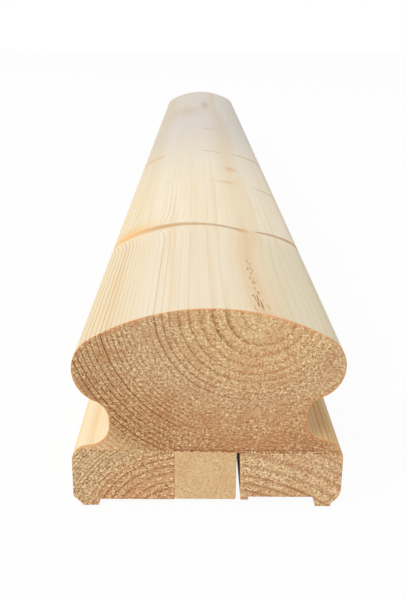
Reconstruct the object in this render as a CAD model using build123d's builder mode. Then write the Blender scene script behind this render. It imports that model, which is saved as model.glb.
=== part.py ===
"""Moulded softwood handrail for a stair, with a loose infill strip in its groove.

The rail is glued up from three lengths of timber and moulded on all four sides. The head is
one length, and two base strips are glued under it, one each side of a groove for balusters.
A planed infill strip fills the groove between balusters. The rail runs along Y, its grip is
up, and it lies on the two narrow feet under its base. The origin is on the level of the feet,
in the middle of the rail. Sizes are in millimetres.
"""

from build123d import *

import math
import os
from dataclasses import dataclass

# Overall sizes
rail_length = 700.0
rail_height = 55.0
base_width = 70.0
head_width = 68.4

# Grip: one wide crown arc, with a waist below it where the fingers go. The crown cutter ran
# a little to the right of the middle line
crown_radius = 60.0
crown_shift = 0.75
cove_radius = 5.6
neck_width = 50.3

# The head timber is this thick from its crown to the glue line, and the base takes the rest
head_thickness = 38.5

# The side cutters ran at slightly different heights and depths, so the sides differ
left_lobe_radius = 9.4
left_shoulder_rise = 1.3
left_shoulder_radius = 4.6
right_lobe_radius = 8.9
right_shoulder_rise = 3.0
right_shoulder_radius = 5.6

# Underside: two feet at the edges and a shallow recess between them
foot_width = 4.1
foot_wall_slope = 0.5
foot_arris = 0.25
left_recess = 1.85
left_chamfer = 2.45
left_foot_step = 0.3
left_corner_round = 0.8
right_recess = 2.75
right_chamfer = 2.5
right_foot_step = 0.8
right_corner_round = 4.5

# Groove between the base strips
groove_width = 16.8
groove_wall_lean = 0.5
nib_width = 2.0

# Infill strip, loose in the groove and pushed against its left wall
infill_side_gap = 0.8
infill_top_gap = 0.15
infill_set_in = 0.15
infill_arris = 0.3

glue_height = rail_height - head_thickness

# The groove is centred once its leaning wall is taken at half its height
groove_left = -(groove_width + groove_wall_lean / 2) / 2
groove_right = groove_left + groove_width
infill_width = groove_width - infill_side_gap
infill_thickness = glue_height - infill_top_gap - left_recess - infill_set_in


@dataclass(frozen=True)
class SideCut:
    """Sizes of one side of the moulding, as its cutters left it."""

    crown_offset: float
    lobe_radius: float
    shoulder_rise: float
    shoulder_radius: float
    recess: float
    chamfer: float
    foot_step: float
    corner_round: float


left_side = SideCut(
    crown_offset=-crown_shift,
    lobe_radius=left_lobe_radius,
    shoulder_rise=left_shoulder_rise,
    shoulder_radius=left_shoulder_radius,
    recess=left_recess,
    chamfer=left_chamfer,
    foot_step=left_foot_step,
    corner_round=left_corner_round,
)
right_side = SideCut(
    crown_offset=crown_shift,
    lobe_radius=right_lobe_radius,
    shoulder_rise=right_shoulder_rise,
    shoulder_radius=right_shoulder_radius,
    recess=right_recess,
    chamfer=right_chamfer,
    foot_step=right_foot_step,
    corner_round=right_corner_round,
)


def bearing(centre: Vector, other: Vector) -> float:
    """Direction in degrees from one circle's centre to another's, where the two touch."""
    return math.degrees(math.atan2(other.Y - centre.Y, other.X - centre.X))


def moulded_half(side: SideCut) -> Sketch:
    """Section of one side of the rail, from its middle line out to +X.

    Crown, lobe and upper cove are arcs that run into each other, and so are lower cove and
    shoulder. A short straight neck joins the two runs, and takes up the cutter's height.
    """
    crown_centre = Vector(side.crown_offset, rail_height - crown_radius)
    crown_lean = math.degrees(math.asin(side.crown_offset / crown_radius))
    crown_start = crown_centre + Vector(0, crown_radius).rotate(Axis.Z, crown_lean)
    lobe_x = head_width / 2 - side.lobe_radius
    inside_reach = crown_radius - side.lobe_radius
    lobe_out = lobe_x - side.crown_offset
    lobe_centre = Vector(lobe_x, crown_centre.Y + math.sqrt(inside_reach**2 - lobe_out**2))

    cove_x = neck_width / 2 + cove_radius
    under_reach = side.lobe_radius + cove_radius
    cove_drop = math.sqrt(under_reach**2 - (cove_x - lobe_x) ** 2)
    cove_centre = Vector(cove_x, lobe_centre.Y - cove_drop)

    shoulder_x = base_width / 2 - side.shoulder_radius
    shoulder_height = glue_height + side.shoulder_rise
    shoulder_centre = Vector(shoulder_x, shoulder_height - side.shoulder_radius)
    over_reach = cove_radius + side.shoulder_radius
    cove_rise = math.sqrt(over_reach**2 - (cove_x - shoulder_x) ** 2)
    low_cove_centre = Vector(cove_x, shoulder_centre.Y + cove_rise)

    crown_fall = 90 - bearing(crown_centre, lobe_centre)
    cove_turn = -bearing(lobe_centre, cove_centre)
    lobe_turn = 90 - crown_fall + cove_turn
    shoulder_turn = 180 + bearing(low_cove_centre, shoulder_centre)
    foot_edge = base_width / 2 - side.chamfer
    foot_inside = foot_edge - foot_width

    with BuildSketch() as half:
        with BuildLine():
            crown = JernArc(
                crown_start,
                Vector(1, 0).rotate(Axis.Z, crown_lean),
                crown_radius,
                -(crown_fall + crown_lean),
            )
            lobe = JernArc(crown @ 1, crown % 1, side.lobe_radius, -lobe_turn)
            cove = JernArc(lobe @ 1, lobe % 1, cove_radius, cove_turn)
            neck = Line(cove @ 1, (neck_width / 2, low_cove_centre.Y))
            low_cove = JernArc(neck @ 1, neck % 1, cove_radius, shoulder_turn)
            shoulder = JernArc(
                low_cove @ 1, low_cove % 1, side.shoulder_radius, -shoulder_turn
            )
            FilletPolyline(
                shoulder @ 1,
                (base_width / 2, side.foot_step + side.chamfer),
                (foot_edge, side.foot_step),
                (foot_edge, 0),
                (foot_inside, 0),
                (foot_inside - foot_wall_slope, side.recess),
                (0, side.recess),
                radius=[side.corner_round, 0, foot_arris, foot_arris, foot_arris],
            )
            Line((0, side.recess), crown @ 0)
        make_face()
    return half.sketch


left_half = mirror(moulded_half(left_side), about=Plane.YZ, mode=Mode.PRIVATE)
right_half = moulded_half(right_side)

# Head: everything above the glue line, in one length of timber
with BuildPart() as head_rail:
    with BuildSketch(Plane.XZ):
        add(left_half)
        add(right_half)
        with Locations((0, glue_height)):
            Rectangle(
                base_width,
                rail_height - glue_height,
                align=(Align.CENTER, Align.MIN),
                mode=Mode.INTERSECT,
            )
    extrude(amount=rail_length / 2, both=True)

# Left base strip: its groove wall is square to the glue line
with BuildPart() as left_base_strip:
    with BuildSketch(Plane.XZ):
        add(left_half)
        with Locations((groove_left, glue_height)):
            Rectangle(
                base_width / 2 + groove_left,
                glue_height,
                align=(Align.MAX, Align.MAX),
                mode=Mode.INTERSECT,
            )
    extrude(amount=rail_length / 2, both=True)

# Right base strip: its groove wall leans away, with a nib that the recess cutter left
with BuildPart() as right_base_strip:
    with BuildSketch(Plane.XZ):
        add(right_half)
        with Locations((groove_right + groove_wall_lean, right_recess)):
            Rectangle(nib_width, right_recess - left_recess, align=(Align.MIN, Align.MAX))
        with BuildLine():
            Polyline(
                (groove_right, glue_height),
                (groove_right + groove_wall_lean, left_recess),
                (groove_right + groove_wall_lean, 0),
                (base_width / 2, 0),
                (base_width / 2, glue_height),
                close=True,
            )
        make_face(mode=Mode.INTERSECT)
    extrude(amount=rail_length / 2, both=True)

# Infill strip: planed square, with its four long edges eased
with BuildPart() as infill_strip:
    with BuildSketch(Plane.XZ):
        with Locations((groove_left, glue_height - infill_top_gap)):
            Rectangle(infill_width, infill_thickness, align=(Align.MIN, Align.MAX))
    extrude(amount=rail_length / 2, both=True)
    chamfer(infill_strip.edges().filter_by(Axis.Y), length=infill_arris)

pieces = {
    "head_rail": head_rail,
    "left_base_strip": left_base_strip,
    "right_base_strip": right_base_strip,
    "infill_strip": infill_strip,
}

os.makedirs("parts", exist_ok=True)
for name, piece in pieces.items():
    piece.part.label = name
    export_step(piece.part, f"parts/{name}.step")
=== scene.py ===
"""Looks of the moulded softwood handrail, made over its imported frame.

The rail runs along Y with its grip up. Its four lengths of timber are drawn again with eased
ends and rough sawn end grain, and each gets wood that is worked out in three dimensions, so
that rings on the ends run on as lines along the sides. Shapes are in metres. The wood patterns
count in millimetres, and measure the length from the near end of the rail.
"""

import logging
import math
from dataclasses import dataclass
from enum import Enum
from typing import Union

import bmesh
import bpy
from bmesh.types import BMesh, BMFace, BMVert
from mathutils import Matrix, Vector, kdtree, noise


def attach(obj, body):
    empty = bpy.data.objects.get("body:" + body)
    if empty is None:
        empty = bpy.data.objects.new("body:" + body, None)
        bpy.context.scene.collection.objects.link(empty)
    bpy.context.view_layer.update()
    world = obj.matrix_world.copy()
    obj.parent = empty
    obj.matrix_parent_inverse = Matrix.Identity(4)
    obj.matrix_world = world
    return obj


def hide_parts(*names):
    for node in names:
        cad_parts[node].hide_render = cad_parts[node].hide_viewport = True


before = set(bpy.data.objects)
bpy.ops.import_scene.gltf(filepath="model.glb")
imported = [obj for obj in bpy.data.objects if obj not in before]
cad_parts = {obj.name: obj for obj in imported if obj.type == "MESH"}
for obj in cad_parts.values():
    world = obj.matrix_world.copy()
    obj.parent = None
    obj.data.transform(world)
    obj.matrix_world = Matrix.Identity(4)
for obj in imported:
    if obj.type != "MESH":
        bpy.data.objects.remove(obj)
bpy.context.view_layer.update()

log = logging.getLogger("handrail")

# Sizes of the rail in metres
LENGTH = 0.7
HEIGHT = 0.055
GLUE = 0.0165
GROOVE_LEFT = -0.008525
GROOVE_RIGHT = 0.008275

# The wood patterns count in millimetres, and half the rail is this long in them
TO_MM = 1000.0
HALF_RUN = LENGTH / 2 * TO_MM

# Metres within which points are one, lie on a cutting plane, or lie on an end of the rail
SAME = 1e-7
TOUCH = 1e-8
SLACK = 1e-6

WHITE = (1.0, 1.0, 1.0, 1.0)

Colour = tuple[float, float, float]
Tones = tuple[tuple[float, Colour], ...]
Points = tuple[tuple[float, float], ...]
Faces = list[BMFace]
Number = Union[float, "Sock"]


class Face(Enum):
    """The two kinds of face that a length of timber shows."""

    SAWN_END = "sawn end"
    PLANED_SIDE = "planed side"


class Lay(Enum):
    """The two ways in which one colour lies on another, as Blender calls them."""

    COVER = "MIX"
    STAIN = "MULTIPLY"


# Shader building


@dataclass(frozen=True)
class Sock:
    """One output of a shader node, wrapped so that sums of patterns read as Python."""

    graph: "Graph"
    port: bpy.types.NodeSocket

    def __add__(self, other: Number) -> "Sock":
        """Sum of two values."""
        return self.graph.maths("ADD", self, other)

    def __sub__(self, other: Number) -> "Sock":
        """Difference of two values."""
        return self.graph.maths("SUBTRACT", self, other)

    def __rsub__(self, other: Number) -> "Sock":
        """Difference from a plain number on the left."""
        return self.graph.maths("SUBTRACT", other, self)

    def __mul__(self, other: Number) -> "Sock":
        """Product of two values."""
        return self.graph.maths("MULTIPLY", self, other)

    def __truediv__(self, other: Number) -> "Sock":
        """Quotient of two values."""
        return self.graph.maths("DIVIDE", self, other)

    def __pow__(self, other: Number) -> "Sock":
        """Power of a value."""
        return self.graph.maths("POWER", self, other)

    def __neg__(self) -> "Sock":
        """The value with its sign turned."""
        return self.graph.maths("MULTIPLY", self, -1.0)


class Graph:
    """Node tree of a material or the sky, with one method that makes any node."""

    def __init__(self, holder: bpy.types.Material | bpy.types.World) -> None:
        """Starts with no nodes.

        Args:
            holder: the new material or world whose nodes these are.
        """
        holder.use_nodes = True
        self.holder = holder
        self.tree = holder.node_tree
        self.tree.nodes.clear()

    def node(
        self,
        kind: str,
        settings: dict[str, object] | None = None,
        sockets: dict[str | int, object] | None = None,
        out: str | int = 0,
    ) -> Sock:
        """Adds any node.

        Args:
            kind: the node's type name.
            settings: properties to set first. "stops" fills a ramp, "curve" a float curve.
            sockets: values or links of the inputs, by name or number.
            out: name or number of the output wanted.

        Returns:
            The wrapped output.
        """
        made = self.tree.nodes.new(kind)
        for name, value in (settings or {}).items():
            if name == "stops":
                self.fill_ramp(made.color_ramp, value)
            elif name == "curve":
                self.fill_curve(made.mapping, value)
            else:
                setattr(made, name, value)
        for name, value in (sockets or {}).items():
            if isinstance(value, Sock):
                self.tree.links.new(value.port, made.inputs[name])
            else:
                made.inputs[name].default_value = value
        return Sock(self, made.outputs[out]) if made.outputs else Sock(self, None)

    @staticmethod
    def fill_ramp(ramp: bpy.types.ColorRamp, stops: list[tuple[float, object]]) -> None:
        """Sets the stops of a ramp.

        Args:
            ramp: the ramp of a new node, which has two stops.
            stops: place and paint of each stop, in order, two or more.
        """
        while len(ramp.elements) < len(stops):
            ramp.elements.new(1.0)
        for element, (place, colour) in zip(ramp.elements, stops):
            element.position = place
            element.color = colour

    @staticmethod
    def fill_curve(mapping: bpy.types.CurveMapping, points: list[tuple[float, float]]) -> None:
        """Sets the points of a float curve.

        Args:
            mapping: the mapping of a new curve node, which has two points.
            points: place and level of each point, from 0 to 1, in order.
        """
        curve = mapping.curves[0]
        while len(curve.points) < len(points):
            curve.points.new(0.5, 0.5)
        for point, place in zip(curve.points, points):
            point.location = place
        mapping.update()

    def maths(self, operation: str, *values: Number) -> Sock:
        """Adds a Math node on one to three values."""
        return self.node("ShaderNodeMath", {"operation": operation}, dict(enumerate(values)))

    def step(self, value: Sock, low: float, high: float) -> Sock:
        """Smooth step from 0 at low to 1 at high. It falls where high is below low.

        Args:
            value: what is measured.
            low: where it is 0.
            high: where it is 1.

        Returns:
            The step.
        """
        if low > high:
            return 1.0 - self.step(value, high, low)
        return self.node(
            "ShaderNodeMapRange",
            {"interpolation_type": "SMOOTHSTEP"},
            {"Value": value, "From Min": low, "From Max": high},
        )

    def point(self, x: Number, y: Number, z: Number) -> Sock:
        """Joins three values into a point."""
        return self.node("ShaderNodeCombineXYZ", None, {"X": x, "Y": y, "Z": z})

    def cloud(self, place: Sock, detail: float = 1.0, warp: float = 0.0) -> Sock:
        """Smooth noise from 0 to 1, with one cell for each unit.

        Args:
            place: point at which the noise is read.
            detail: how many finer layers are added.
            warp: how far the noise is bent by itself.

        Returns:
            The noise.
        """
        return self.node(
            "ShaderNodeTexNoise",
            None,
            {"Vector": place, "Scale": 1.0, "Detail": detail, "Distortion": warp},
        )

    def curve(self, value: Sock, span: float, points: Points) -> Sock:
        """Reads a curve.

        Args:
            value: where on the curve, from 0 to span.
            span: the place of the curve's end.
            points: place and level of each point. Levels go from 0 to 1.

        Returns:
            The level there.
        """
        places = [(at / span, level) for at, level in points]
        return self.node("ShaderNodeFloatCurve", {"curve": places}, {"Value": value / span})

    def straight_on(self) -> Sock:
        """Tells rays that show a thing itself or its reflection from those that light.

        Returns:
            1 for the former and 0 for the latter.
        """
        rays = self.node("ShaderNodeLightPath", None, None, "Is Camera Ray")
        ports = rays.port.node.outputs
        seen = rays + Sock(self, ports["Is Glossy Ray"]) + Sock(self, ports["Is Transmission Ray"])
        return self.maths("MINIMUM", seen, 1.0)

    def tint(self, mask: Number, under: object, over: object, lay: Lay = Lay.COVER) -> Sock:
        """Lays one colour over another.

        Args:
            mask: 0 shows the lower colour and 1 the upper.
            under: lower colour, a paint or a wrapped output.
            over: upper colour.
            lay: whether the upper covers the lower, or stains it.

        Returns:
            The mixed colour.
        """
        kinds = {"data_type": "RGBA", "blend_type": lay.value}
        return self.node("ShaderNodeMix", kinds, {0: mask, 6: under, 7: over}, 2)


def paint(red: int, green: int, blue: int) -> tuple[float, float, float, float]:
    """Turns a colour as it is seen into the linear values that shaders take.

    Args:
        red: its red from 0 to 255.
        green: its green.
        blue: its blue.

    Returns:
        The linear colour, opaque.
    """

    def linear(level: int) -> float:
        """One channel."""
        part = level / 255
        return part / 12.92 if part <= 0.04045 else ((part + 0.055) / 1.055) ** 2.4

    return (linear(red), linear(green), linear(blue), 1.0)


# Wood


@dataclass(frozen=True)
class Mark:
    """A mark that appears where a pattern, or a place in millimetres, passes a level.

    It starts at one level and is at its strength at the other, which may be the lower one.
    """

    start: float
    full: float
    strength: float
    colour: Colour
    lay: Lay = Lay.STAIN


# Marks of all sawn ends
BLOTCHES = Mark(0.42, 0.7, 0.5, (244, 216, 204))
DARK_CRUMBS = Mark(0.46, 0.34, 0.7, (200, 154, 114))
DARK_DASHES = Mark(0.46, 0.3, 1.0, (206, 148, 92))
PALE_CRUMBS = Mark(0.54, 0.66, 0.8, (252, 228, 182), Lay.COVER)
PALE_DASHES = Mark(0.54, 0.66, 1.0, (255, 234, 186), Lay.COVER)
DUST = Mark(0.5, 0.25, 0.6, (198, 164, 132))
RAYS = Mark(0.5, 0.72, 0.22, (216, 190, 162))
GOLDEN_SUMMER = Mark(3.0, 11.0, 1.0, (240, 200, 146))

# Marks of all planed sides
BROAD_TONES = Mark(0.42, 0.7, 0.6, (251, 242, 228))
STREAKS = Mark(0.5, 0.7, 0.5, (250, 238, 220))
FIBRES = Mark(0.5, 0.75, 0.3, (248, 236, 218))
# Painted shade and haze: the sides grow darker and cooler towards the far end, as light falls off.
FAR_PAINTED_SHADE = Mark(110.0, 420.0, 1.0, (228, 232, 248))
INNER_BRANCH = Mark(42.0, 27.0, 1.0, (225, 217, 212))

# Marks of the head alone
LOW_END = Mark(40.0, 24.0, 0.5, (244, 223, 208))
GLUE_LINE = Mark(16.85, 16.55, 0.6, (190, 124, 94))
PITH_FLECKS = Mark(0.48, 0.56, 1.0, (168, 98, 62), Lay.COVER)
PITH_BAND = Mark(92.0, 70.0, 0.42, (250, 226, 198))
GREEN_SIDE = Mark(110.0, 60.0, 0.36, (238, 240, 222))
NEAR_CROWN = Mark(100.0, 74.0, 1.0, (250, 249, 248))
# Painted shade: browns and darkens the right cove, which faces away from the lamp.
RIGHT_COVE_PAINTED_SHADE = Mark(34.0, 28.0, 0.95, (238, 214, 190))


@dataclass(frozen=True)
class Knot:
    """A branch in the wood, which grew out from the pith and was cut along its length.

    Direction is in degrees round the pith, from the right over the top. Rise is how far the
    branch climbs along the rail, and reach the distance from the pith in which it does most
    of it. Width and depth are what it widens by for each millimetre outwards.
    """

    start: float
    direction: float
    rise: float = 13.0
    reach: float = 16.0
    droop: float = 0.0
    first: float = 1.5
    last: float = 80.0
    width: float = 0.045
    depth: float = 0.11
    pith_width: float = 0.75
    pith_depth: float = 1.2
    strength: float = 1.0
    core: Colour = (214, 160, 104)
    rim: Colour = (240, 196, 130)
    young: Colour = (188, 158, 132)
    lean: float = 6.0
    lean_reach: float = 5.0


@dataclass(frozen=True)
class Spot:
    """A soft mark on the grip, such as a bud trace or a resin stain."""

    across: float
    along: float
    half_width: float
    half_length: float
    colour: Colour
    strength: float


@dataclass(frozen=True)
class Growth:
    """How the tree grew round this timber, in millimetres and years."""

    pith: tuple[float, float]
    years: Points
    weights: Points = ((0.0, 0.5), (60.0, 0.5))
    pith_path: Points = ((0.0, 0.0), (700.0, 0.0))
    straighten: float = 7.0
    offset_x: float = 0.0
    offset_z: float = 0.0
    wander: float = 0.3
    uneven: float = 0.35
    late_start: float = 0.55
    late_end: float = 0.93
    least_weight: float = 0.62
    weight_range: float = 0.65
    seed: float = 0.0


@dataclass(frozen=True)
class EndGrain:
    """Colours of a sawn end. Tones go from the pith outwards."""

    tones: Tones
    late: Colour
    dark_rings: float = 0.8
    speckle: float = 1.0
    dashes: float = 0.4
    rim: Colour = (232, 164, 104)
    rim_strength: float = 0.75
    edge_strength: float = 0.6
    sectors: Points = ((0.0, 1.0), (360.0, 1.0))
    all_round: float = 0.0


@dataclass(frozen=True)
class LongGrain:
    """Colours of the planed sides. Tones and line strengths go from the pith outwards."""

    tones: Tones
    late: Colour
    lines: Points = ((0.0, 0.6), (80.0, 0.6))
    fade_start: float = 84.0
    fade_end: float = 240.0
    fade: float = 0.6


@dataclass
class Timber:
    """Finish of one length of softwood, on all its faces.

    Curves and tones over the ring radius end at span, in millimetres, and those over the
    years at most_years. The three pairs are distances from an end of the rail, in
    millimetres, between which the sawn face and its worn edge come in or go out.
    """

    span = 80.0
    most_years = 100.0
    sawn_from = (0.2, 0.07)
    worn_from = (0.34, 0.2)
    worn_to = (0.02, 0.1)
    pith_reach = 10.0
    relief_height = 0.00022
    relief_strength = 0.6
    gloss = 0.2

    name: str
    growth: Growth
    end: EndGrain
    side: LongGrain
    knots: tuple[Knot, ...] = ()
    spots: tuple[Spot, ...] = ()

    def __post_init__(self) -> None:
        """Starts the material, and reads the place in millimetres from the near end."""
        g = self.graph = Graph(bpy.data.materials.new(self.name))
        where = g.node("ShaderNodeTexCoord", None, None, "Object")
        apart = g.node("ShaderNodeSeparateXYZ", None, {0: where}, "X")
        ports = apart.port.node.outputs
        self.x = Sock(g, ports["X"]) * TO_MM
        self.z = Sock(g, ports["Z"]) * TO_MM
        self.along = Sock(g, ports["Y"]) * TO_MM + HALF_RUN
        from_end = HALF_RUN - g.maths("ABSOLUTE", self.along - HALF_RUN)
        self.sawn = g.step(from_end, *self.sawn_from)
        self.edge = g.step(from_end, *self.worn_from) * g.step(from_end, *self.worn_to)
        self.rim = g.node("ShaderNodeAttribute", {"attribute_name": "rim"}, None, "Fac")

    def cells(
        self,
        across: float,
        along: float,
        up: float | None = None,
        detail: float = 1.0,
        warp: float = 0.0,
    ) -> Sock:
        """Smooth noise in the wood.

        Args:
            across: noise cells for each millimetre across the rail.
            along: the same along it.
            up: the same upwards, as across where it isn't given.
            detail: how many finer layers are added.
            warp: how far the noise is bent by itself.

        Returns:
            The noise, from 0 to 1.
        """
        upward = across if up is None else up
        place = self.graph.point(self.x * across, self.along * along, self.z * upward)
        return self.graph.cloud(place, detail, warp)

    def mark(self, colour: Sock, pattern: Sock, mark: Mark, share: Number = 1.0) -> Sock:
        """Lays a mark on the wood.

        Args:
            colour: the wood without it.
            pattern: what decides where it shows.
            mark: the mark.
            share: how much of it shows, where it isn't all of it.

        Returns:
            The wood with it.
        """
        g = self.graph
        amount = g.step(pattern, mark.start, mark.full) * mark.strength * share
        return g.tint(amount, colour, paint(*mark.colour), mark.lay)

    def eccentric(self, across: Sock, up: Sock) -> Sock:
        """Radius of the ring through a point, where ring centres drift as the tree grows.

        Args:
            across: distance from the pith to the right.
            up: distance above it.

        Returns:
            The ring's radius.
        """
        g, grown = self.graph, self.growth
        shrink = 1.0 - grown.offset_x**2 - grown.offset_z**2
        lean = across * grown.offset_x + up * grown.offset_z
        square = lean * lean + (across * across + up * up) * shrink
        return (lean + g.maths("SQRT", square)) / shrink

    def find_pith(self) -> None:
        """Works out how far each point is from the pith, which wanders less further out."""
        g, grown = self.graph, self.growth
        wide = 2 * self.pith_reach
        path = tuple((at, off / wide + 0.5) for at, off in grown.pith_path)
        off_axis = (g.curve(self.along, 2 * HALF_RUN, path) - 0.5) * wide
        drift = g.point(self.x * 0.04 + grown.seed, self.along * 0.006, self.z * 0.04)
        side_drift = g.cloud(drift) - 0.5
        self.up = self.z - grown.pith[1]
        plain = self.x - grown.pith[0]
        outer = g.maths("SQRT", plain * plain + self.up * self.up)
        hold = g.maths("EXPONENT", outer / -grown.straighten)
        self.across = plain - off_axis * hold
        self.radius = self.eccentric(self.across, self.up) + side_drift * (2.0 * grown.wander)

    def cut_knot(self, knot: Knot) -> tuple[Sock, Sock, Sock, Sock]:
        """Works out one branch.

        Args:
            knot: the branch.

        Returns:
            How much of the branch shows, how near its middle, how far out, and how far it
            bends the rings.
        """
        g = self.graph
        turn = math.radians(knot.direction)
        out = self.across * math.cos(turn) + self.up * math.sin(turn)
        aside = self.across * math.sin(turn) - self.up * math.cos(turn)
        out = g.maths("MAXIMUM", out, 0.0)
        aside = aside + out * out * (knot.droop / TO_MM)
        climb = 1.0 - g.maths("EXPONENT", out * (-1.0 / knot.reach))
        ahead = self.along - (climb * knot.rise + knot.start)
        ripple = self.cells(0.18, 0.3, detail=3.0) - 0.5
        ahead = ahead + ripple * (out * 0.05 + 0.8)
        half_width = out * knot.width + knot.pith_width
        half_depth = out * knot.depth + knot.pith_depth
        flat = (ahead / half_width) ** 2.0 + (aside / half_depth) ** 2.0
        inside = g.step(flat, 1.7, 0.3)
        seen = g.step(out, knot.first, knot.first + 3.0)
        seen = seen * g.step(out, knot.last, knot.last - 5.0)
        core = g.step(flat, 0.9, 0.0)
        rounded = (ahead * ahead + 5.0) ** 0.5
        near = g.maths("EXPONENT", rounded / -knot.lean_reach) * 1.4
        spread = g.maths("EXPONENT", -((aside / (half_depth * 2.5)) ** 2.0))
        bend = near * spread * g.step(out, 3.0, 30.0) * knot.lean
        return inside * seen * knot.strength, core, out, bend

    def lay_rings(self) -> None:
        """Turns the ring radius into years, and those into early and late wood."""
        g, grown = self.graph, self.growth
        self.knot_marks = [(knot, *self.cut_knot(knot)) for knot in self.knots]
        radius = self.radius
        for _, _, _, _, bend in self.knot_marks:
            radius = radius - bend
        self.ring_radius = g.maths("MAXIMUM", radius, 0.0)
        counts = tuple((at, count / self.most_years) for at, count in grown.years)
        even = g.curve(self.ring_radius, self.span, counts) * self.most_years
        uneven = g.cloud(g.point(self.ring_radius * 0.5, grown.seed, 0.0)) - 0.5
        years = even + uneven * grown.uneven
        self.season = g.maths("FRACT", years)
        late = g.step(self.season, grown.late_start, grown.late_end)
        self.late = late * g.step(self.season, 1.0, grown.late_end + 0.01)
        chance = g.node(
            "ShaderNodeTexWhiteNoise",
            {"noise_dimensions": "1D"},
            {"W": g.maths("FLOOR", years) + grown.seed * 7.0},
        )
        weight = g.curve(years, self.most_years, grown.weights)
        self.ring_weight = weight * (chance * grown.weight_range + grown.least_weight)

    def tone(self, stops: Tones) -> Sock:
        """Finds the colour by ring radius.

        Args:
            stops: radius and tone of each stop, from the pith outwards.

        Returns:
            The colour.
        """
        places = [(at / self.span, paint(*colour)) for at, colour in stops]
        share = self.ring_radius / self.span
        return self.graph.node("ShaderNodeValToRGB", {"stops": places}, {"Fac": share})

    def end_rings(self, inner: Sock) -> Sock:
        """Works out how dark the late wood of each ring is on the sawn end.

        Args:
            inner: least strength of the rings near the pith, all round it.

        Returns:
            The strength of the dark lines.
        """
        g, end = self.graph, self.end
        turn = g.maths("FRACT", self.angle / (2.0 * math.pi) + 1.0)
        sector = g.curve(turn * 360.0, 360.0, end.sectors)
        rings = self.late * self.ring_weight * end.dark_rings * g.maths("MAXIMUM", sector, inner)
        broken = g.step(self.cells(0.9, 0.45), 0.28, 0.5)
        return rings * (broken * 0.45 + 0.55)

    def end_colour(self) -> Sock:
        """Colours the sawn end with tones, rings, then crumbs and dashes of torn fibre.

        Returns:
            The colour.
        """
        g, end = self.graph, self.end
        crumbs = self.cells(1.9, 0.95, warp=0.8)
        dashes = self.cells(0.95, 0.5, 2.5, warp=0.5)
        blotch = self.cells(0.14, 0.07, detail=2.0)
        self.angle = g.maths("ARCTAN2", self.up, self.across)
        rays = g.cloud(g.point(self.angle * 60.0, self.radius * 0.12, 0.0))
        inner = g.step(self.ring_radius, 28.0, 22.0) * end.all_round
        rings = self.end_rings(inner)
        summer = g.step(self.season, 0.25, 0.85) * inner
        colour = self.mark(self.tone(end.tones), self.ring_radius, GOLDEN_SUMMER, summer)
        colour = g.tint(rings, colour, paint(*end.late))
        colour = self.mark(colour, blotch, BLOTCHES)
        calm = (1.0 - rings * 0.8) * end.speckle * (1.0 - g.step(blotch, 0.4, 0.62) * 0.35)
        colour = self.mark(colour, crumbs, DARK_CRUMBS, calm)
        colour = self.mark(colour, dashes, DARK_DASHES, calm * end.dashes)
        colour = self.mark(colour, crumbs, PALE_CRUMBS, calm)
        colour = self.mark(colour, dashes, PALE_DASHES, calm * end.dashes)
        colour = self.mark(colour, self.cells(3.9, 1.95), DUST)
        colour = self.mark(colour, rays, RAYS)
        return g.tint(self.rim * end.rim_strength, colour, paint(*end.rim))

    def side_colour(self) -> Sock:
        """Colours the planed long faces, with painted shade that deepens towards the far end.

        Returns:
            The colour.
        """
        g, side = self.graph, self.side
        fade = 1.0 - g.step(self.along, side.fade_start, side.fade_end) * side.fade
        strength = g.curve(self.ring_radius, self.span, side.lines)
        lines = self.late * self.ring_weight * strength * fade
        colour = g.tint(lines, self.tone(side.tones), paint(*side.late))
        colour = self.mark(colour, self.cells(0.07, 0.005, detail=2.0), BROAD_TONES, fade)
        colour = self.mark(colour, self.cells(0.45, 0.007), STREAKS, fade)
        colour = self.mark(colour, self.cells(2.2, 0.03, detail=2.0), FIBRES, fade)
        # Painted shade and haze, darker and cooler towards the far end of the rail.
        return self.mark(colour, self.along, FAR_PAINTED_SHADE)

    def mark_knots(self, colour: Sock) -> Sock:
        """Lays the branches and spots over the wood.

        Args:
            colour: the wood without them.

        Returns:
            The wood with them.
        """
        g = self.graph
        for knot, shown, core, out, _ in self.knot_marks:
            middle = g.tint(g.step(out, 11.0, 20.0), paint(*knot.young), paint(*knot.core))
            inner = g.tint(core, paint(*knot.rim), middle)
            colour = g.tint(shown, colour, self.mark(inner, out, INNER_BRANCH))
        for spot in self.spots:
            wide = (self.x - spot.across) / spot.half_width
            long = (self.along - spot.along) / spot.half_length
            bell = g.maths("EXPONENT", -(wide * wide + long * long))
            bell = bell * g.step(self.up, -14.0, -6.0) * spot.strength
            colour = g.tint(bell, colour, paint(*spot.colour), Lay.STAIN)
        return colour

    def extra(self, colour: Sock, face: Face) -> Sock:
        """Adds marks that only some timber has. This one has none."""
        return colour

    def relief(self) -> Sock:
        """Raises torn fibre on the ends, and faint grain and knife marks on the sides.

        Returns:
            The height of the relief, from 0 to about 1.
        """
        torn = self.cells(2.3, 2.3, detail=2.0, warp=0.4)
        grain = self.cells(3.0, 0.05, detail=2.0)
        knife = self.graph.maths("SINE", self.along * 4.6) * 0.015
        rough = torn * 0.9 + self.late * 0.25
        smooth = grain * 0.12 + self.late * 0.1 + knife
        return rough * self.sawn + smooth * (1.0 - self.sawn)

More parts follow.
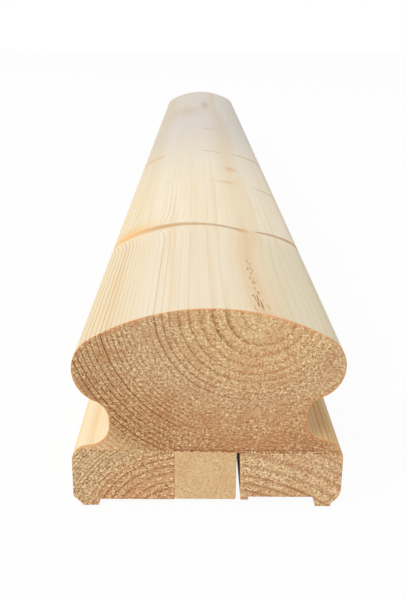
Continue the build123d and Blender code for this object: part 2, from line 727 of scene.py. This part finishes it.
    def finish(self) -> bpy.types.Material:
        """Builds the whole material.

        Returns:
            The material.
        """
        g = self.graph
        self.find_pith()
        self.lay_rings()
        end = self.extra(self.end_colour(), Face.SAWN_END)
        side = self.extra(self.mark_knots(self.side_colour()), Face.PLANED_SIDE)
        worn = self.edge * self.end.edge_strength
        colour = g.tint(worn, g.tint(self.sawn, side, end), paint(*self.end.rim))
        relief = {
            "Strength": self.relief_strength,
            "Distance": self.relief_height,
            "Height": self.relief(),
        }
        shader = g.node(
            "ShaderNodeBsdfPrincipled",
            None,
            {
                "Base Color": colour,
                "Roughness": self.sawn * 0.28 + (0.6 - self.late * 0.05),
                "Normal": g.node("ShaderNodeBump", None, relief),
                "Specular IOR Level": self.gloss,
            },
        )
        g.node("ShaderNodeOutputMaterial", None, {"Surface": shader})
        return g.holder


class HeadTimber(Timber):
    """Finish of the head: pale pine with its pith just under the crown."""

    def extra(self, colour: Sock, face: Face) -> Sock:
        """Adds the marks that the head alone has, on an end or on the sides."""
        return self.mark_end(colour) if face is Face.SAWN_END else self.mark_sides(colour)

    def mark_end(self, colour: Sock) -> Sock:
        """Darkens the low part of the end, and draws the glue line at its foot.

        Args:
            colour: the wood without them.

        Returns:
            The wood with them.
        """
        g = self.graph
        patchy = g.step(g.cloud(g.point(self.x * 0.3, 0.0, 0.0), 2.0), 0.3, 0.6)
        clearer = g.step(self.x, -12.0, -6.0) * 0.7 + 0.3
        colour = self.mark(colour, self.z, LOW_END)
        return self.mark(colour, self.z, GLUE_LINE, (patchy * 0.6 + 0.4) * clearer)

    def mark_sides(self, colour: Sock) -> Sock:
        """Adds flecks and a darker band over the pith, tones of single stretches, painted
        right-cove shade.

        Args:
            colour: the wood without them.

        Returns:
            The wood with them.
        """
        g = self.graph
        near = self.across * self.across
        window = g.step(self.along, 54.0, 44.0) * g.step(self.up, -4.0, -2.0)
        thin = g.step(self.along, 10.0, 16.0)
        run = self.along * 0.1 + g.maths("MAXIMUM", self.along - 11.0, 0.0) * 0.14
        fleck = g.cloud(g.point(self.across * 1.7, run, 3.0)) - thin * 0.05
        reach = g.maths("EXPONENT", near / -4.5)
        shown = g.step(reach, 0.1, 0.5) * window * (0.9 - thin * 0.35)
        colour = self.mark(colour, fleck * (reach * 0.4 + 0.6), PITH_FLECKS, shown)
        band = g.maths("EXPONENT", near / -18.0)
        colour = self.mark(colour, self.along, PITH_BAND, band)
        colour = self.mark(colour, self.along, GREEN_SIDE, g.step(self.x, 15.0, 21.0))
        colour = self.mark(colour, self.along, NEAR_CROWN, g.step(self.z, 42.0, 46.0))
        # Painted shade on the low right side, where the cove faces away from the lamp.
        return self.mark(colour, self.z, RIGHT_COVE_PAINTED_SHADE, g.step(self.x, 20.0, 26.0))


# Shapes


def place(name: str, data: bpy.types.ID) -> bpy.types.Object:
    """Puts data into the scene as an object.

    Args:
        name: the object's name.
        data: a mesh, a lamp or a camera.

    Returns:
        The object, at the origin.
    """
    made = bpy.data.objects.new(name, data)
    bpy.context.scene.collection.objects.link(made)
    return made


def place_mesh(name: str, mesh: BMesh) -> bpy.types.Object:
    """Puts a finished mesh into the scene, and frees it.

    Args:
        name: the object's name.
        mesh: what it is made of.

    Returns:
        The object, at the origin.
    """
    data = bpy.data.meshes.new(name)
    mesh.to_mesh(data)
    mesh.free()
    return place(name, data)


class Pen:
    """Draws the outline of a section on the plane of the near end, one run after another."""

    corner_steps = 5

    def __init__(self, mesh: BMesh, x: float, z: float, depth: float) -> None:
        """Puts the pen down.

        Args:
            mesh: what is drawn into.
            x: start across the rail.
            z: start above the floor.
            depth: place of the plane along Y.
        """
        self.mesh = mesh
        self.depth = depth
        self.tip = mesh.verts.new((x, depth, z))

    def arc(self, x: float, z: float, degrees: float, steps: int) -> None:
        """Goes round a centre.

        Args:
            x: centre across the rail.
            z: centre above the floor.
            degrees: turn about +Y, which runs from up to right.
            steps: number of chords.
        """
        turned = bmesh.ops.spin(
            self.mesh,
            geom=[self.tip],
            cent=(x, self.depth, z),
            axis=(0.0, 1.0, 0.0),
            dvec=(0.0, 0.0, 0.0),
            angle=math.radians(degrees),
            steps=steps,
            use_merge=False,
            use_duplicate=False,
        )
        self.tip = turned["geom_last"][0]

    def line(self, x: float, z: float) -> None:
        """Goes straight to a point.

        Args:
            x: its place across the rail.
            z: its place above the floor.
        """
        grown = bmesh.ops.extrude_vert_indiv(self.mesh, verts=[self.tip])
        self.tip = grown["verts"][0]
        self.tip.co = (x, self.depth, z)

    def corners(self, run: list[tuple[float, float, float]]) -> None:
        """Goes round rounded corners to a last point.

        Args:
            run: x, z and rounding of each corner. The last one is the end.
        """
        for (x, z, rounding), (next_x, next_z, _) in zip(run, run[1:]):
            here = Vector((self.tip.co.x, self.tip.co.z))
            corner = Vector((x, z))
            to = (corner - here).normalized()
            away = (Vector((next_x, next_z)) - corner).normalized()
            turn = math.atan2(to.y * away.x - to.x * away.y, to.dot(away))
            if rounding:
                start = corner - to * (rounding * math.tan(abs(turn) / 2))
                side = math.copysign(rounding, turn)
                self.line(start.x, start.y)
                centre = start + Vector((to.y, -to.x)) * side
                self.arc(centre.x, centre.y, math.degrees(turn), self.corner_steps)
            else:
                self.line(x, z)
        self.line(run[-1][0], run[-1][1])


@dataclass(frozen=True)
class SideCut:
    """Sizes of one side of the moulding, as its cutters left it."""

    way: int
    lobe_radius: float
    shoulder_rise: float
    shoulder_radius: float
    recess: float
    chamfer: float
    foot_step: float
    corner_round: float


@dataclass(frozen=True)
class Moulding:
    """The moulded section of the rail, the same for all that is cut from it."""

    base_width: float = 0.07
    head_width: float = 0.0684
    crown_radius: float = 0.06
    crown_shift: float = 0.00075
    cove_radius: float = 0.0056
    neck_width: float = 0.0503
    foot_width: float = 0.0041
    foot_wall_slope: float = 0.0005
    foot_arris: float = 0.00025
    crown_steps: int = 34
    lobe_steps: int = 30
    cove_steps: int = 14
    low_cove_steps: int = 16
    shoulder_steps: int = 6
    left: SideCut = SideCut(-1, 0.0094, 0.0013, 0.0046, 0.00185, 0.00245, 0.0003, 0.0008)
    right: SideCut = SideCut(1, 0.0089, 0.003, 0.0056, 0.00275, 0.0025, 0.0008, 0.0045)

    def shoulder_centre(self, side: SideCut) -> tuple[float, float]:
        """Centre of the shoulder's rounding, on the right side or as if on it."""
        across = self.base_width / 2 - side.shoulder_radius
        return across, GLUE + side.shoulder_rise - side.shoulder_radius

    def shoulder_cut(self, side: SideCut) -> float:
        """Degrees above level at which the glue line meets the shoulder."""
        _, height = self.shoulder_centre(side)
        return math.degrees(math.asin((GLUE - height) / side.shoulder_radius))

    def draw_head(self, pen: Pen, side: SideCut) -> None:
        """Draws one side of the head, from the top of the crown to the glue line.

        Args:
            pen: a pen at the top of the crown.
            side: the side to draw.
        """
        crown_z = HEIGHT - self.crown_radius
        lobe_x = self.head_width / 2 - side.lobe_radius
        lobe_out = lobe_x - side.way * self.crown_shift
        inside = self.crown_radius - side.lobe_radius
        lobe_z = crown_z + math.sqrt(inside**2 - lobe_out**2)
        cove_x = self.neck_width / 2 + self.cove_radius
        reach = side.lobe_radius + self.cove_radius
        cove_z = lobe_z - math.sqrt(reach**2 - (cove_x - lobe_x) ** 2)
        shoulder_x, shoulder_z = self.shoulder_centre(side)
        reach = side.shoulder_radius + self.cove_radius
        low_z = shoulder_z + math.sqrt(reach**2 - (cove_x - shoulder_x) ** 2)
        crown_turn = math.degrees(math.atan2(lobe_out, lobe_z - crown_z))
        cove_turn = math.degrees(math.atan2(lobe_z - cove_z, cove_x - lobe_x))
        lobe_turn = 90 - crown_turn + cove_turn
        top_turn = math.degrees(math.atan2(shoulder_x - cove_x, low_z - shoulder_z))
        way = side.way
        pen.arc(self.crown_shift, crown_z, way * crown_turn, self.crown_steps)
        pen.arc(way * lobe_x, lobe_z, way * lobe_turn, self.lobe_steps)
        pen.arc(way * cove_x, cove_z, -way * cove_turn, self.cove_steps)
        pen.line(way * self.neck_width / 2, low_z)
        pen.arc(way * cove_x, low_z, -way * (90 + top_turn), self.low_cove_steps)
        last_turn = 90 - self.shoulder_cut(side) - top_turn
        pen.arc(way * shoulder_x, shoulder_z, way * last_turn, self.shoulder_steps)

    def draw_base(self, pen: Pen, side: SideCut, last: tuple[float, float, float]) -> None:
        """Draws one side of the base, from the glue line round the foot to the recess.

        Args:
            pen: a pen on the shoulder, at the glue line.
            side: the side to draw.
            last: where the recess ends.
        """
        way = side.way
        shoulder_x, shoulder_z = self.shoulder_centre(side)
        foot_edge = self.base_width / 2 - side.chamfer
        foot_inside = foot_edge - self.foot_width
        wall = foot_inside - self.foot_wall_slope
        cut = self.shoulder_cut(side)
        pen.arc(way * shoulder_x, shoulder_z, way * cut, self.shoulder_steps)
        pen.corners(
            [
                (way * self.base_width / 2, side.foot_step + side.chamfer, side.corner_round),
                (way * foot_edge, side.foot_step, 0.0),
                (way * foot_edge, 0.0, self.foot_arris),
                (way * foot_inside, 0.0, self.foot_arris),
                (way * wall, side.recess, self.foot_arris),
                last,
            ]
        )


@dataclass
class Length:
    """One length of timber, as long as the rail. Each kind draws its own section.

    Its torn fibre reaches its full height at calm_width from the rim. The rim is darkened in
    patches, with rim_patches of them in a metre. Edges with more than sharp_turn degrees stay
    sharp.
    """

    name: str
    node: str
    slot: str
    wood: Timber
    section: Moulding = Moulding()
    arris: float = 0.00016
    cell: float = 0.00036
    roughness: float = 0.00007
    rim_width: float = 0.0004
    calm_width: float = 0.0007
    rim_patches: float = 160.0
    rim_share: float = 0.75
    sharp_turn: float = 24.0
    quick_cells: int = 4
    bays: int = 20

    @property
    def depth(self) -> float:
        """Place along Y of the plane on which the section is drawn."""
        return -LENGTH / 2 + self.arris

    def outline(self, mesh: BMesh) -> None:
        """Draws the section's outline into a mesh."""
        raise NotImplementedError

    def build(self) -> bpy.types.Object:
        """Builds the timber: its section, a rough skin and an eased edge on each end, its run.

        Returns:
            The object, at the origin.
        """
        mesh = bmesh.new()
        self.outline(mesh)
        bmesh.ops.remove_doubles(mesh, verts=mesh.verts, dist=SAME)
        bmesh.ops.edgeloop_fill(mesh, edges=mesh.edges[:])
        mesh.normal_update()
        if mesh.faces[:][0].normal.y > 0:
            bmesh.ops.reverse_faces(mesh, faces=mesh.faces)
        skin = mesh.faces[:]
        bmesh.ops.inset_region(
            mesh,
            faces=skin,
            thickness=self.arris,
            depth=self.arris,
            use_boundary=True,
            use_even_offset=True,
        )
        for axis in (Vector((1.0, 0.0, 0.0)), Vector((0.0, 0.0, 1.0))):
            skin = self.cut_cells(mesh, skin, axis)
        copied = bmesh.ops.duplicate(mesh, geom=mesh.verts[:] + mesh.edges[:] + mesh.faces[:])
        far = [part for part in copied["geom"] if isinstance(part, BMVert)]
        bmesh.ops.scale(mesh, verts=far, vec=(1.0, -1.0, 1.0))
        bounds = [edge for edge in mesh.edges if edge.is_boundary]
        bridged = bmesh.ops.bridge_loops(mesh, edges=bounds)
        self.divide_run(mesh, bridged["faces"])
        bmesh.ops.recalc_face_normals(mesh, faces=mesh.faces)
        self.sharpen(mesh)
        self.roughen(mesh)
        return place_mesh(self.name, mesh)

    def divide_run(self, mesh: BMesh, walls: Faces) -> None:
        """Cuts the long faces into bays, so that none is a needle.

        Args:
            mesh: the timber.
            walls: its long faces.
        """
        for bay in range(1, self.bays):
            at = LENGTH * (bay / self.bays - 0.5)
            _, walls = self.split(mesh, walls, Vector((0.0, 1.0, 0.0)), at)

    @staticmethod
    def split(mesh: BMesh, faces: Faces, axis: Vector, at: float) -> tuple[Faces, Faces]:
        """Cuts faces along a plane.

        Args:
            mesh: what the faces are in.
            faces: the faces to cut.
            axis: direction across the plane.
            at: place of the plane in that direction.

        Returns:
            The faces behind the plane, and the others.
        """
        around = {e for f in faces for e in f.edges} | {v for f in faces for v in f.verts}
        done = bmesh.ops.bisect_plane(
            mesh, geom=faces + list(around), dist=TOUCH, plane_co=axis * at, plane_no=axis
        )
        parts = [part for part in done["geom"] if isinstance(part, BMFace)]
        passed = [part.calc_center_median().dot(axis) < at for part in parts]
        behind = [part for part, is_behind in zip(parts, passed) if is_behind]
        return behind, [part for part, is_behind in zip(parts, passed) if not is_behind]

    def sharpen(self, mesh: BMesh) -> None:
        """Shades the faces smooth, and keeps the real corners sharp.

        Args:
            mesh: the timber.
        """
        mesh.normal_update()
        for face in mesh.faces:
            face.smooth = True
        for edge in mesh.edges:
            edge.smooth = edge.calc_face_angle(0.0) < math.radians(self.sharp_turn)

    def roughen(self, mesh: BMesh) -> None:
        """Lifts the cells of both ends as the saw left them, less and less towards the rim.

        Args:
            mesh: the timber.
        """
        layer = mesh.verts.layers.float.new("rim")
        skin = [v for v in mesh.verts if not self.is_inside(v)]
        rim = [v for v in skin if any(self.is_inside(e.other_vert(v)) for e in v.link_edges)]
        tree = kdtree.KDTree(len(rim))
        for number, vert in enumerate(rim):
            tree.insert(vert.co, number)
        tree.balance()
        for vert in skin:
            _, _, gap = tree.find(vert.co)
            vert[layer] = self.burnish(vert.co) * math.exp(-((gap / self.rim_width) ** 2))
            lift = self.tear(vert.co) * min(1.0, gap / self.calm_width)
            vert.co.y += math.copysign(lift, vert.co.y)

    @staticmethod
    def is_inside(vert: BMVert) -> bool:
        """Tells whether a point lies between the two ends, and on neither."""
        return abs(vert.co.y) < LENGTH / 2 - SLACK

    def burnish(self, at: Vector) -> float:
        """How much the cutter has darkened the rim of the end at a point, from 0 to 1."""
        patch = noise.noise(Vector((at.x, 0.0, at.z)) * self.rim_patches)
        return min(1.0, max(0.0, self.rim_share + patch))

    def cut_cells(self, mesh: BMesh, faces: Faces, axis: Vector) -> Faces:
        """Cuts flat faces into strips across a direction.

        Args:
            mesh: the section.
            faces: the faces to cut.
            axis: direction across the strips.

        Returns:
            The faces that came of them.
        """
        reach = [v.co.dot(axis) for f in faces for v in f.verts]
        start, stop = min(reach), max(reach)
        cell = self.cell * 1
        count = max(2, round((stop - start) / cell))
        done: Faces = []
        live = faces
        for number in range(1, count):
            at = start + (stop - start) * number / count
            behind, live = self.split(mesh, live, axis, at)
            done += behind
        return done + live

    def tear(self, at: Vector) -> float:
        """Works out the height of the sawn skin, from torn fibre and the teeth of the saw.

        Args:
            at: the point.

        Returns:
            The height in metres.
        """
        spot = Vector((at.x, at.y * 0.01, at.z)) * TO_MM
        fibre = noise.noise(spot * 1.5) + 0.6 * noise.noise(spot * 3.1)
        swell = noise.noise(spot * 0.12)
        teeth = math.sin((spot.x * 0.35 + spot.z + swell * 2.0) * 2.6) * 0.25
        return self.roughness * (fibre + teeth * 0.5 + swell * 0.8)

    def dress(self, piece: bpy.types.Object) -> None:
        """Gives the piece its wood, puts it under the root body, and hides the part it stands for.

        Args:
            piece: what build returned.
        """
        piece.data.materials.append(self.wood.finish())
        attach(piece, "root")
        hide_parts(self.node)


class HeadLength(Length):
    """The head: the moulded grip, its waist, and the flange on the glue line."""

    def outline(self, mesh: BMesh) -> None:
        """Draws both sides from the top of the crown, and closes them along the glue line.

        Args:
            mesh: what is drawn into.
        """
        ends = []
        for side in (self.section.left, self.section.right):
            pen = Pen(mesh, self.section.crown_shift, HEIGHT, self.depth)
            self.section.draw_head(pen, side)
            ends.append(pen)
        left, right = ends
        right.line(left.tip.co.x, left.tip.co.z)


@dataclass
class BaseLength(Length):
    """A base strip: one foot, and one wall of the groove."""

    side: SideCut = Moulding.left
    wall_top: float = GROOVE_LEFT
    wall_foot: Points = ()

    def outline(self, mesh: BMesh) -> None:
        """Draws from the glue line out round the foot, then up the groove wall.

        Args:
            mesh: what is drawn into.
        """
        side = self.side
        across, height = self.section.shoulder_centre(side)
        cut = math.radians(self.section.shoulder_cut(side))
        start_x = side.way * (across + side.shoulder_radius * math.cos(cut))
        pen = Pen(mesh, start_x, GLUE, self.depth)
        first, *rest = self.wall_foot
        self.section.draw_base(pen, side, (first[0], first[1], 0.0))
        for x, z in rest:
            pen.line(x, z)
        pen.line(self.wall_top, GLUE)
        pen.line(start_x, GLUE)


@dataclass
class InfillLength(Length):
    """The loose infill strip: planed square, with eased edges."""

    left: float = GROOVE_LEFT
    width: float = 0.016
    top: float = 0.01635
    thickness: float = 0.01435
    ease: float = 0.0003

    def outline(self, mesh: BMesh) -> None:
        """Draws the four sides with rounded corners.

        Args:
            mesh: what is drawn into.
        """
        right, bottom = self.left + self.width, self.top - self.thickness
        middle = self.left + self.width / 2
        pen = Pen(mesh, middle, self.top, self.depth)
        pen.corners(
            [
                (right, self.top, self.ease),
                (right, bottom, self.ease),
                (self.left, bottom, self.ease),
                (self.left, self.top, self.ease),
                (middle, self.top, 0.0),
            ]
        )


# Studio


@dataclass(frozen=True)
class Studio:
    """Pale floor, soft light from the upper left, and the camera.

    Places and sizes are in metres, the sensor is in millimetres, and the picture's long side
    and the focal length are in pixels.
    """

    floor_size: float = 8.0
    paper: Colour = (236, 235, 232)
    whiteness: float = 0.95
    key_energy: float = 102.0
    key_size: float = 2.7
    key_place: tuple[float, float, float] = (-2.28, -2.17, 3.07)
    key_aim: tuple[float, float, float] = (0.0, -0.1, 0.03)
    key_colour: tuple[float, float, float] = (1.0, 0.985, 0.955)
    world_strength: float = 0.67
    sky: tuple[float, float, float, float] = (0.93, 0.97, 1.0, 1.0)
    focal_pixels: float = 803.216
    long_side: float = 600.0
    sensor: float = 36.0
    nearest: float = 0.01
    camera_place: tuple[float, float, float] = (-0.00347, -0.532882, 0.118999)
    yaw: float = 0.010
    pitch: float = 0.326
    roll: float = 0.011

    def lay_floor(self) -> None:
        """Lays a plain floor, which stays near white to the camera and keeps a soft shadow."""
        mesh = bmesh.new()
        bmesh.ops.create_grid(mesh, x_segments=1, y_segments=1, size=self.floor_size / 2)
        floor = place_mesh("floor", mesh)
        g = Graph(bpy.data.materials.new("white paper floor"))
        plain = g.node("ShaderNodeBsdfDiffuse", None, {"Color": paint(*self.paper)})
        bright = g.node("ShaderNodeEmission", None, {"Color": WHITE})
        amount = g.straight_on() * self.whiteness
        both = g.node("ShaderNodeMixShader", None, {0: amount, 1: plain, 2: bright})
        g.node("ShaderNodeOutputMaterial", None, {"Surface": both})
        floor.data.materials.append(g.holder)

    def light(self) -> None:
        """Hangs one large soft lamp and sets an even sky."""
        lamp = bpy.data.lights.new("window", "AREA")
        lamp.shape = "SQUARE"
        lamp.size = self.key_size
        lamp.energy = self.key_energy
        lamp.color = self.key_colour
        holder = place("window", lamp)
        holder.location = self.key_place
        aim = Vector(self.key_aim) - Vector(self.key_place)
        holder.rotation_euler = aim.to_track_quat("-Z", "Y").to_euler()
        self.set_sky()

    def set_sky(self) -> None:
        """Lights the scene evenly from all round, and shows white behind it."""
        world = bpy.data.worlds.new("sky")
        bpy.context.scene.world = world
        g = Graph(world)
        glow = {"Color": self.sky, "Strength": self.world_strength}
        lit = g.node("ShaderNodeBackground", None, glow)
        plain = g.node("ShaderNodeBackground", None, {"Color": WHITE})
        both = g.node("ShaderNodeMixShader", None, {0: g.straight_on(), 1: lit, 2: plain})
        g.node("ShaderNodeOutputWorld", None, {"Surface": both})

    def set_camera(self) -> None:
        """Sets the camera, held a little above the near end and looking down the rail."""
        ahead = Vector(
            (
                math.sin(self.yaw) * math.cos(self.pitch),
                math.cos(self.yaw) * math.cos(self.pitch),
                -math.sin(self.pitch),
            )
        )
        level = Vector((math.cos(self.yaw), -math.sin(self.yaw), 0.0))
        above = level.cross(ahead)
        right = level * math.cos(self.roll) + above * math.sin(self.roll)
        top = above * math.cos(self.roll) - level * math.sin(self.roll)
        lens = bpy.data.cameras.new("camera")
        lens.sensor_width = self.sensor
        lens.lens = self.focal_pixels * self.sensor / self.long_side
        lens.clip_start = self.nearest
        lens.dof.use_dof = False
        camera = place("camera", lens)
        turned = Matrix((right, top, -ahead)).transposed()
        camera.matrix_world = Matrix.Translation(self.camera_place) @ turned.to_4x4()
        bpy.context.scene.camera = camera

    def build(self) -> None:
        """Sets up everything round the object."""
        self.lay_floor()
        self.light()
        self.set_camera()
        bpy.context.scene.view_settings.view_transform = "Standard"


# The rail's own timbers


def head_timber() -> Length:
    """The head, with its whorls of branches.

    Returns:
        The length with its wood.
    """
    growth = Growth(
        pith=(14.4, 54.1),
        years=(
            (0, 0), (6, 2), (12.2, 4), (17.3, 6), (22.9, 9), (28.5, 13), (33.9, 18),
            (38.7, 22), (45, 27), (80, 56),
        ),
        weights=(
            (0, 0.4), (5, 0.5), (8.6, 0.4), (9.6, 1.0), (10.6, 0.4), (14, 0.5), (18, 0.95),
            (22, 1.2), (26, 1.2), (28, 0.5), (100, 0.5),
        ),
        late_start=0.66,
        late_end=0.9,
        pith_path=(
            (0, 0.0), (14, -2.5), (49, -3.4), (84, -0.4), (165, -1.2), (207, -2.5),
            (280, -1.5), (373, 1.2), (545, -7.0), (700, -5.0),
        ),
        offset_x=0.16,
        offset_z=-0.04,
    )
    knots = (
        Knot(
            start=83, direction=180, droop=3.4, rise=22.0, reach=50.0, width=0.11, lean=4.0,
            core=(240, 197, 142), rim=(251, 225, 178), young=(220, 192, 166),
        ),
        Knot(
            start=84.2, direction=-24, rise=16.0, reach=22.0, last=27.0, width=0.1, lean=4.0,
            core=(236, 190, 136), rim=(250, 222, 180), young=(232, 194, 160),
        ),
        Knot(start=170, direction=-22, first=8.0, last=22.0, width=0.1, strength=0.3, lean=2.0),
        Knot(start=168, direction=181, droop=3.4, strength=0.12, rim=(252, 242, 216), lean=2.0),
        Knot(start=258, direction=180, droop=3.4, last=17.0, width=0.14, strength=0.45, lean=3.0),
        Knot(start=260, direction=180, droop=3.4, first=34.0, width=0.12, strength=0.4, lean=0.0),
        Knot(start=262, direction=-24, strength=0.5, width=0.14, lean=2.0),
        Knot(start=362, direction=178, last=16.0, width=0.16, strength=0.4, lean=3.0),
    )
    spots = (
        Spot(-26.0, 101.0, 8.0, 6.5, (255, 224, 164), 0.7),
        Spot(12.0, 84.0, 2.4, 2.6, (240, 200, 158), 0.8),
        Spot(13.0, 210.0, 2.6, 7.0, (244, 208, 178), 0.8),
        Spot(10.0, 173.0, 4.0, 3.0, (246, 220, 178), 0.7),
        Spot(3.5, 545.0, 2.6, 30.0, (222, 208, 196), 0.8),
        Spot(-12.0, 500.0, 14.0, 40.0, (246, 236, 226), 0.8),
    )
    wood = HeadTimber(
        "head pine",
        growth,
        EndGrain(
            tones=(
                (0, (224, 188, 138)), (14, (218, 182, 136)), (24, (210, 176, 138)),
                (34, (205, 163, 119)), (44, (191, 148, 104)), (46, (206, 176, 132)),
                (49, (238, 214, 168)),
            ),
            late=(122, 76, 46),
            dark_rings=0.95,
            sectors=(
                (0, 0.48), (150, 0.9), (180, 1.0), (222, 1.0), (236, 0.6), (250, 0.25),
                (290, 0.18), (320, 0.34), (340, 0.48), (360, 0.48),
            ),
            all_round=0.45,
        ),
        LongGrain(
            tones=(
                (0, (242, 221, 186)), (8, (247, 232, 205)), (14, (246, 230, 203)),
                (28, (244, 229, 202)), (34, (241, 223, 189)), (60, (245, 227, 192)),
            ),
            late=(212, 168, 118),
            lines=(
                (0, 0.3), (15.6, 0.32), (16.4, 0.7), (17.2, 0.32), (20, 0.34), (23, 0.7),
                (25, 0.7), (27, 0.34), (33, 0.6), (38, 1.0), (45, 0.8), (48, 0.3), (80, 0.3),
            ),
        ),
        knots,
        spots,
    )
    return HeadLength("head_rail_wood", "head_rail", "head_timber", wood)


def left_base_timber() -> Length:
    """The left base strip, with steep close rings.

    Returns:
        The length with its wood.
    """
    growth = Growth(
        pith=(-7.0, -9.0),
        years=((0, -6), (14.8, 1), (25.1, 6), (31.1, 11), (34.8, 15.5), (80, 60)),
        seed=3.0,
        weights=((0, 0.9), (100, 0.9)),
        late_start=0.5,
        late_end=0.85,
    )
    wood = Timber(
        "left base pine",
        growth,
        EndGrain(
            tones=(
                (0, (214, 162, 114)), (24, (213, 168, 124)), (29, (212, 182, 140)),
                (60, (210, 180, 136)),
            ),
            late=(158, 104, 66),
            dark_rings=0.95,
            speckle=1.35,
        ),
        LongGrain(
            tones=((0, (240, 214, 176)), (30, (252, 234, 198)), (60, (252, 234, 196))),
            late=(226, 184, 128),
        ),
    )
    return BaseLength(
        "left_base_wood",
        "left_base_strip",
        "left_base_timber",
        wood,
        cell=0.0003,
        wall_foot=((GROOVE_LEFT, Moulding.left.recess),),
    )


def right_base_timber() -> Length:
    """The right base strip, with wide rings that fall gently outwards.

    Returns:
        The length with its wood.
    """
    growth = Growth(
        pith=(1.0, -44.0),
        years=((0, -20), (50, 1), (54.4, 3), (60.8, 5), (66.2, 7), (80, 12)),
        weights=((0, 1.0), (100, 1.0)),
        seed=5.0,
        late_start=0.4,
        late_end=0.8,
    )
    wood = Timber(
        "right base pine",
        growth,
        EndGrain(
            tones=((0, (219, 184, 141)), (80, (219, 184, 141))),
            late=(180, 128, 94),
            dark_rings=0.9,
            speckle=1.4,
        ),
        LongGrain(
            tones=((0, (236, 208, 172)), (80, (236, 208, 172))),
            late=(214, 172, 124),
        ),
    )
    low, high = Moulding.left.recess, Moulding.right.recess
    wall = GROOVE_RIGHT + 0.0005
    nib = wall + 0.002
    return BaseLength(
        "right_base_wood",
        "right_base_strip",
        "right_base_timber",
        wood,
        cell=0.0003,
        side=Moulding.right,
        wall_top=GROOVE_RIGHT,
        wall_foot=((nib, high), (nib, low), (wall, low)),
    )


def infill_timber() -> Length:
    """The infill strip, of slow pale wood with hardly a ring to be seen.

    Returns:
        The length with its wood.
    """
    growth = Growth(pith=(45.0, -20.0), years=((0, 0), (80, 50)), seed=9.0, wander=0.6)
    wood = Timber(
        "infill spruce",
        growth,
        EndGrain(
            tones=((0, (227, 194, 146)), (80, (227, 194, 146))),
            late=(212, 172, 124),
            dark_rings=0.3,
            speckle=0.55,
            rim=(250, 228, 184),
        ),
        LongGrain(
            tones=((0, (246, 232, 206)), (80, (246, 232, 206))),
            late=(232, 206, 164),
        ),
    )
    return InfillLength("infill_wood", "infill_strip", "infill_timber", wood, cell=0.0003)


def main() -> None:
    """Builds the timbers and the studio."""
    logging.basicConfig(level=logging.INFO, format="%(name)s: %(message)s")
    Studio().build()
    for make in (head_timber, left_base_timber, right_base_timber, infill_timber):
        length = make()
        piece = length.build()
        length.dress(piece)
        log.info("%s: %d faces", piece.name, len(piece.data.polygons))
    bpy.context.view_layer.update()


if __name__ == "__main__":
    main()
